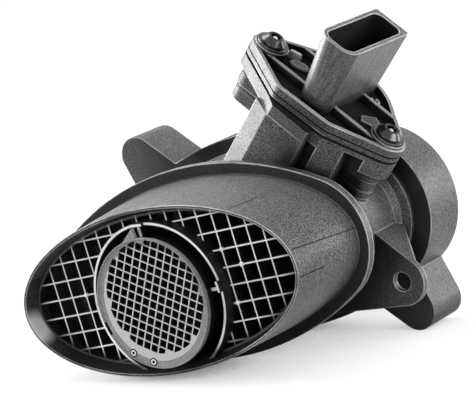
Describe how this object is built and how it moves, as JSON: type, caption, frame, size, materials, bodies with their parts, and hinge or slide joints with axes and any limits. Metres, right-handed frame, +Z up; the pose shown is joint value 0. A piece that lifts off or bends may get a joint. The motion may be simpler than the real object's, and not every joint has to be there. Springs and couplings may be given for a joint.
{
  "type": "mass airflow sensor",
  "caption": "Oval plastic air duct with a square lattice and a round mesh disc in its mouth, a leaned plug-in sensor module with a connector socket, fixing ears and a round outlet.",
  "frame": {"origin": "centre of the rear flange's seat on the duct's axis, midway between the two thick ears", "axes": "+Y along the air flow, out of the round outlet; X along the oval duct's long side; +Z up, across the duct's short side, on the sensor module's side"},
  "size_m": [0.1495, 0.133, 0.1208],
  "materials": {
    "filled_plastic": "glass-filled dark grey plastic, moulded, fine speckle",
    "module_plastic": "dark grey plastic, moulded, slightly smoother than the duct",
    "grid_plastic": "dark grey plastic lattice with bright edges",
    "grey_plastic": "light grey plastic, matte",
    "seal_rubber": "black rubber",
    "coated_bead": "resin-coated bead and leads",
    "plate_metal": "plain sheet",
    "board": "coated circuit board",
    "chip": "smooth ceramic and silicon",
    "contact_metal": "tinned contact",
    "screw_steel": "dark plated steel, glossy",
    "insert_brass": "turned brass"
  },
  "bodies": {
    "root": {"housing": "filled_plastic", "inlet_grid": "grid_plastic", "flow_tube": "filled_plastic", "mesh_disc": "grey_plastic", "sensor_housing": "module_plastic", "o_ring": "seal_rubber", "temperature_sensor": "coated_bead", "base_plate": "plate_metal", "circuit_board": "board", "sensor_chip": "chip", "electronics_cover": "module_plastic", "bypass_cover": "module_plastic", "terminal_1": "contact_metal", "terminal_2": "contact_metal", "terminal_3": "contact_metal", "terminal_4": "contact_metal", "terminal_5": "contact_metal", "screw_left": "screw_steel", "screw_right": "screw_steel", "washer_left": "screw_steel", "washer_right": "screw_steel", "bushing_left": "insert_brass", "bushing_right": "insert_brass", "insert_left": "insert_brass", "insert_right": "insert_brass"}
  },
  "joints": []
}
